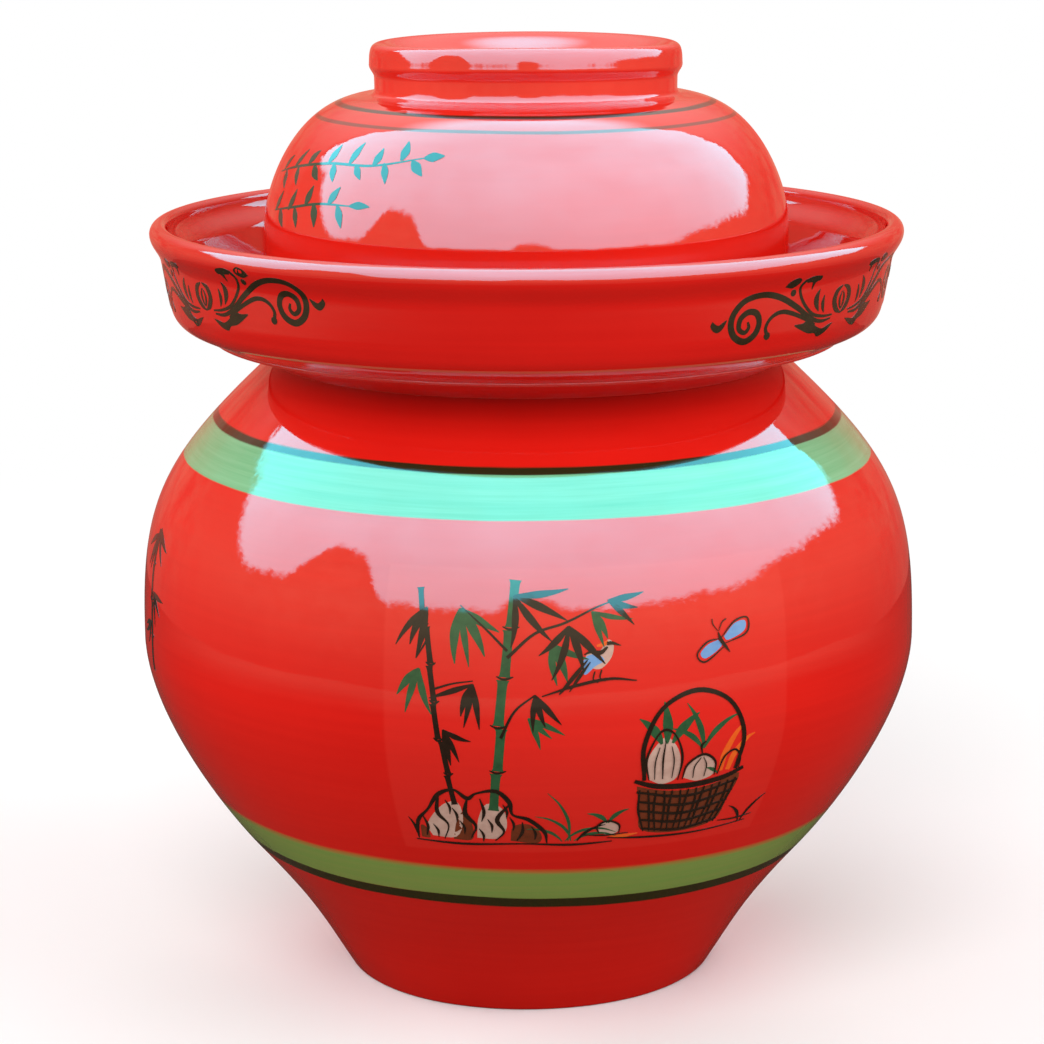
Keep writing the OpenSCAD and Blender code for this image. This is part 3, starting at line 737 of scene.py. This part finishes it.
# Inner lid. A small disc with a knob and a locating ring, turned and glazed dark red, that covers
# the mouth of the jar under the bowl.
disc_z, disc_r, disc_t, crowned, spigot_r, spigot_in_r, spigot_h = 252.3, 58, 5, 3, 49.5, 44.5, 8
knob_foot_r, knob_r, knob_h, disc_edge_r = 9, 14, 14, 1.5
inner_lid_sway = 0.2
knob_foot = Vector((knob_foot_r, disc_z + disc_t + crowned))
knob_swell = Vector((knob_r, knob_foot.y + knob_h * 0.62))
knob_top = Vector((0, knob_foot.y + knob_h))
spigot_top_in, spigot_top = (spigot_in_r, disc_z), (spigot_r, disc_z)
spigot_foot_in, spigot_foot = (spigot_in_r, disc_z - spigot_h), (spigot_r, disc_z - spigot_h)
disc_foot, disc_top = (disc_r, disc_z), (disc_r, disc_z + disc_t)
inner_lid_outline = (
    [(0, disc_z), spigot_top_in]
    + rounded(spigot_top_in, spigot_foot_in, spigot_foot, disc_edge_r)
    + rounded(spigot_foot_in, spigot_foot, spigot_top, disc_edge_r) + [spigot_top]
    + rounded(spigot_top, disc_foot, disc_top, disc_edge_r)
    + rounded(disc_foot, disc_top, knob_foot, disc_edge_r)
    + curve(knob_foot, 0, knob_swell, 0, steps=14)
    + curve(knob_swell, 0, knob_top, -90, (0.4, 0.4), 14))
inner_glaze = glossy("DeepRedGlaze", lambda place: red_glaze(
    place, paint(150, 16, 12), paint(190, 28, 18)), shine=0.06)
inner_lid = finished("inner_lid_glazed", turned(inner_lid_outline, inner_lid_sway, 160),
                     "inner_lid", "inner_lid_glaze", inner_glaze)
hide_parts("inner_lid")

# Weights. Two half discs of bare fired clay that go in through the mouth one by one and together
# press the vegetables under the brine. The hole between them takes a finger.
weight_z, weight_t, weight_r, finger_r, split = 12.3, 20, 46, 14, 1
weight_edge_r, finger_edge_r, cut_edge_w = 3, 1.2, 0.8


def weight(name, side):
    """Half of a ring, on the side of the cut that side points to."""
    low, high = weight_z, weight_z + weight_t
    foot_in, foot_out, top_out, top_in = ((finger_r, low), (weight_r, low), (weight_r, high),
                                          (finger_r, high))
    middle = (finger_r, (low + high) / 2)
    ring = ([middle] + rounded(top_in, foot_in, foot_out, finger_edge_r)
            + rounded(foot_in, foot_out, top_out, weight_edge_r)
            + rounded(foot_out, top_out, top_in, weight_edge_r)
            + rounded(top_out, top_in, foot_in, finger_edge_r) + [middle])
    bm = turned(ring, 0.0, 120)
    bmesh.ops.bisect_plane(bm, geom=bm.verts[:] + bm.edges[:] + bm.faces[:], dist=0.001 * MM,
                           plane_co=(side * split / 2 * MM, 0, 0), plane_no=(side, 0, 0),
                           clear_inner=True)
    cut = [e for e in bm.edges if e.is_boundary]
    caps = bmesh.ops.contextual_create(bm, geom=cut)["faces"]
    bmesh.ops.bevel(bm, geom=list({e for f in caps for e in f.edges}), offset=cut_edge_w * MM,
                    segments=3, profile=0.5, affect="EDGES", material=-1)
    bmesh.ops.recalc_face_normals(bm, faces=bm.faces)
    piece = finished(name + "_fired", bm, name, "bare_clay", clay)
    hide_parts(name)


weight("weight_left", -1)
weight("weight_right", 1)

# Studio. A pale floor and four soft lights, one on each side. A screen that is seen only in the
# glaze gives it the broad sheen of an open sky over a line of trees. Sizes here are in metres.
floor_r, screen_r, lamp_distance = 6, 0.7, 2.2
screen_middle, lamps_middle = (0, 0, 0.2), Vector((0, 0, 0.15))


def surface(owner, shader):
    """Gives a material or the world its final shader."""
    tree = owner.node_tree
    kind = "World" if isinstance(owner, bpy.types.World) else "Material"
    tree.links.new(shader.socket, tree.nodes.new("ShaderNodeOutput" + kind).inputs["Surface"])


def empty_tree(owner):
    owner.use_nodes = True
    owner.node_tree.nodes.clear()
    return Wire(owner.node_tree)


floor_paint = bpy.data.materials.new("PaleFloor")
wire = empty_tree(floor_paint)
seen = wire.add("LightPath", output="Is Camera Ray")
mirrored = wire.add("LightPath", output="Is Glossy Ray")
place = wire.add("TexCoord", output="Object")
away = place.add("VectorMath", {"operation": "LENGTH"}, {0: place}, 1)
far, front = away.past(0.55, 0.3), (axes(place)[1] * -1).past(-0.1, 0.35)
# painted shade and light: in the glaze, the floor shows a painted shadow round the jar and painted
# light further off in front of it
ground = (away.past(0.58, 0.08) * front).blend((0.08, 0.06, 0.05, 1), (0.45, 0.42, 0.3, 1))
shade = seen.blend(mirrored.blend((0.45, 0.44, 0.43, 1), ground), (0.96, 0.96, 0.96, 1))
matt = wire.add("BsdfDiffuse", {}, {"Color": shade})
white = wire.add("Emission", {}, {"Color": (1, 1, 1, 1), "Strength": 1.0})
surface(floor_paint, wire.add("MixShader", {}, {0: far * seen, 1: matt, 2: white}))
bm = bmesh.new()
bmesh.ops.create_circle(bm, cap_ends=True, segments=96, radius=floor_r)
floor = as_object("floor", bm, floor_paint)

sky_paint = bpy.data.materials.new("ReflectedSky")
wire = empty_tree(sky_paint)
way = wire.add("TexCoord", output="Object")
way = wire.add("VectorMath", {"operation": "SUBTRACT"}, {0: way, 1: screen_middle})
way = wire.add("VectorMath", {"operation": "NORMALIZE"}, {0: way})
x, y, z = axes(way)
rise = wire.math("ARCSINE", z) * math.degrees(1)
turn = wire.math("ARCTAN2", x, y * -1) * math.degrees(1)
flat = wire.add("VectorMath", {"operation": "NORMALIZE"}, {0: way.stretched(1, 1, 0)})


def hump(middle, half, height):
    """A tree that stands out of the line of trees."""
    off = wire.math("ABSOLUTE", turn - middle)
    return (1 - off.past(half, half * 0.6)) * height


# how high the trees reach in each direction, and, behind, where the woods come close
ragged = 6 * (flat.noise(0.2, 2.0) - 0.5) + 11 * (way.noise(0.04, 5.0, 0.8) - 0.5)
trees = 6 + ragged + hump(-56, 11, 20) + hump(1, 7, 6)
trees = trees + turn.past(66, 18) * 7 + turn.past(113, 7) * 8
trees = trees + (1 - turn.past(-99, 15)) * 22
side = wire.math("ABSOLUTE", turn) + 12 * (way.noise(0.2, 5.0, 0.75) - 0.5)
behind = side.past(122, 3)
trees = trees + behind * (62 - trees)
open_sky = rise.past(trees, 2) * (1 - behind) + rise.past(trees, 7) * behind
clouds = way.noise(0.3, 4.0, 0.6)
sky = rise.past(28, 28).blend((1.3, 5.9, 7.0, 1), (1.6, 9.0, 11.0, 1))
sky = (clouds.past(0.5, 0.25) * 0.3).blend(sky, (1.2, 4.8, 5.8, 1))
woods = side.past(100, 40).blend((1.1, 1.0, 0.66, 1), (0.9, 0.13, 0.1, 1))
woods = (way.noise(0.12, 4.0, 0.7).past(0.5, 0.25) * 0.55).blend(woods, (0.8, 0.55, 0.36, 1))
woods = rise.past(-10, 14).blend((0.3, 0.12, 0.1, 1), woods)
woods = (behind * rise.past(38, 26)).blend(woods, (2.2, 1.9, 1.8, 1))
shining = open_sky.blend(woods, sky)
surface(sky_paint, wire.add("Emission", {}, {"Color": shining, "Strength": 1.0}))
sky_paint.cycles.emission_sampling = "NONE"
bm = bmesh.new()
bmesh.ops.create_icosphere(bm, subdivisions=5, radius=screen_r,
                           matrix=Matrix.Translation(screen_middle))
reflectors = as_object("reflectors", bm, sky_paint)
reflectors.visible_camera = reflectors.visible_diffuse = reflectors.visible_shadow = False
reflectors.visible_transmission = False

world = bpy.context.scene.world or bpy.data.worlds.new("Studio")
bpy.context.scene.world = world
wire = empty_tree(world)
shown = [wire.add("LightPath", output="Is " + kind + " Ray")
         for kind in ("Camera", "Glossy", "Transmission")]
glow = (shown[0] + shown[1] + shown[2]).blend((0.5, 0.5, 0.5, 1), (1, 1, 1, 1))
surface(world, wire.add("Background", {}, {"Color": glow, "Strength": 1.0}))


def softbox(name, azimuth, elevation, size, power):
    """A round soft light that faces the jar and isn't mirrored in it."""
    light = bpy.data.lights.new(name, "AREA")
    light.shape, light.size, light.energy = "DISK", size, power
    lamp = bpy.data.objects.new(name, light)
    a, e = math.radians(azimuth), math.radians(elevation)
    back = Vector((math.sin(a) * math.cos(e), -math.cos(a) * math.cos(e), math.sin(e)))
    lamp.location = lamps_middle + back * lamp_distance
    lamp.rotation_mode = "QUATERNION"
    lamp.rotation_quaternion = back.to_track_quat("Z", "Y")
    lamp.visible_glossy = False
    bpy.context.scene.collection.objects.link(lamp)


softbox("front_light", azimuth=-15, elevation=38, size=1.5, power=25)
softbox("left_light", azimuth=-105, elevation=20, size=1.6, power=19)
softbox("right_light", azimuth=75, elevation=20, size=1.6, power=21)
softbox("back_light", azimuth=165, elevation=20, size=1.6, power=16)

# The camera stands where the photograph was taken from, 1 m away and looking 13 degrees down.
camera = bpy.data.objects.new("camera", bpy.data.cameras.new("camera"))
camera.data.lens, camera.data.sensor_width = 110.49, 36
camera.location = (-0.0019, -1.0164, 0.3750)
camera.rotation_euler = (Matrix.Rotation(math.radians(77.26), 3, "X")
                         @ Matrix.Rotation(math.radians(-0.3), 3, "Z")).to_euler()
camera.data.clip_start, camera.data.clip_end = 0.01, 100
bpy.context.scene.collection.objects.link(camera)
bpy.context.scene.camera = camera
bpy.context.scene.view_settings.view_transform = "Standard"
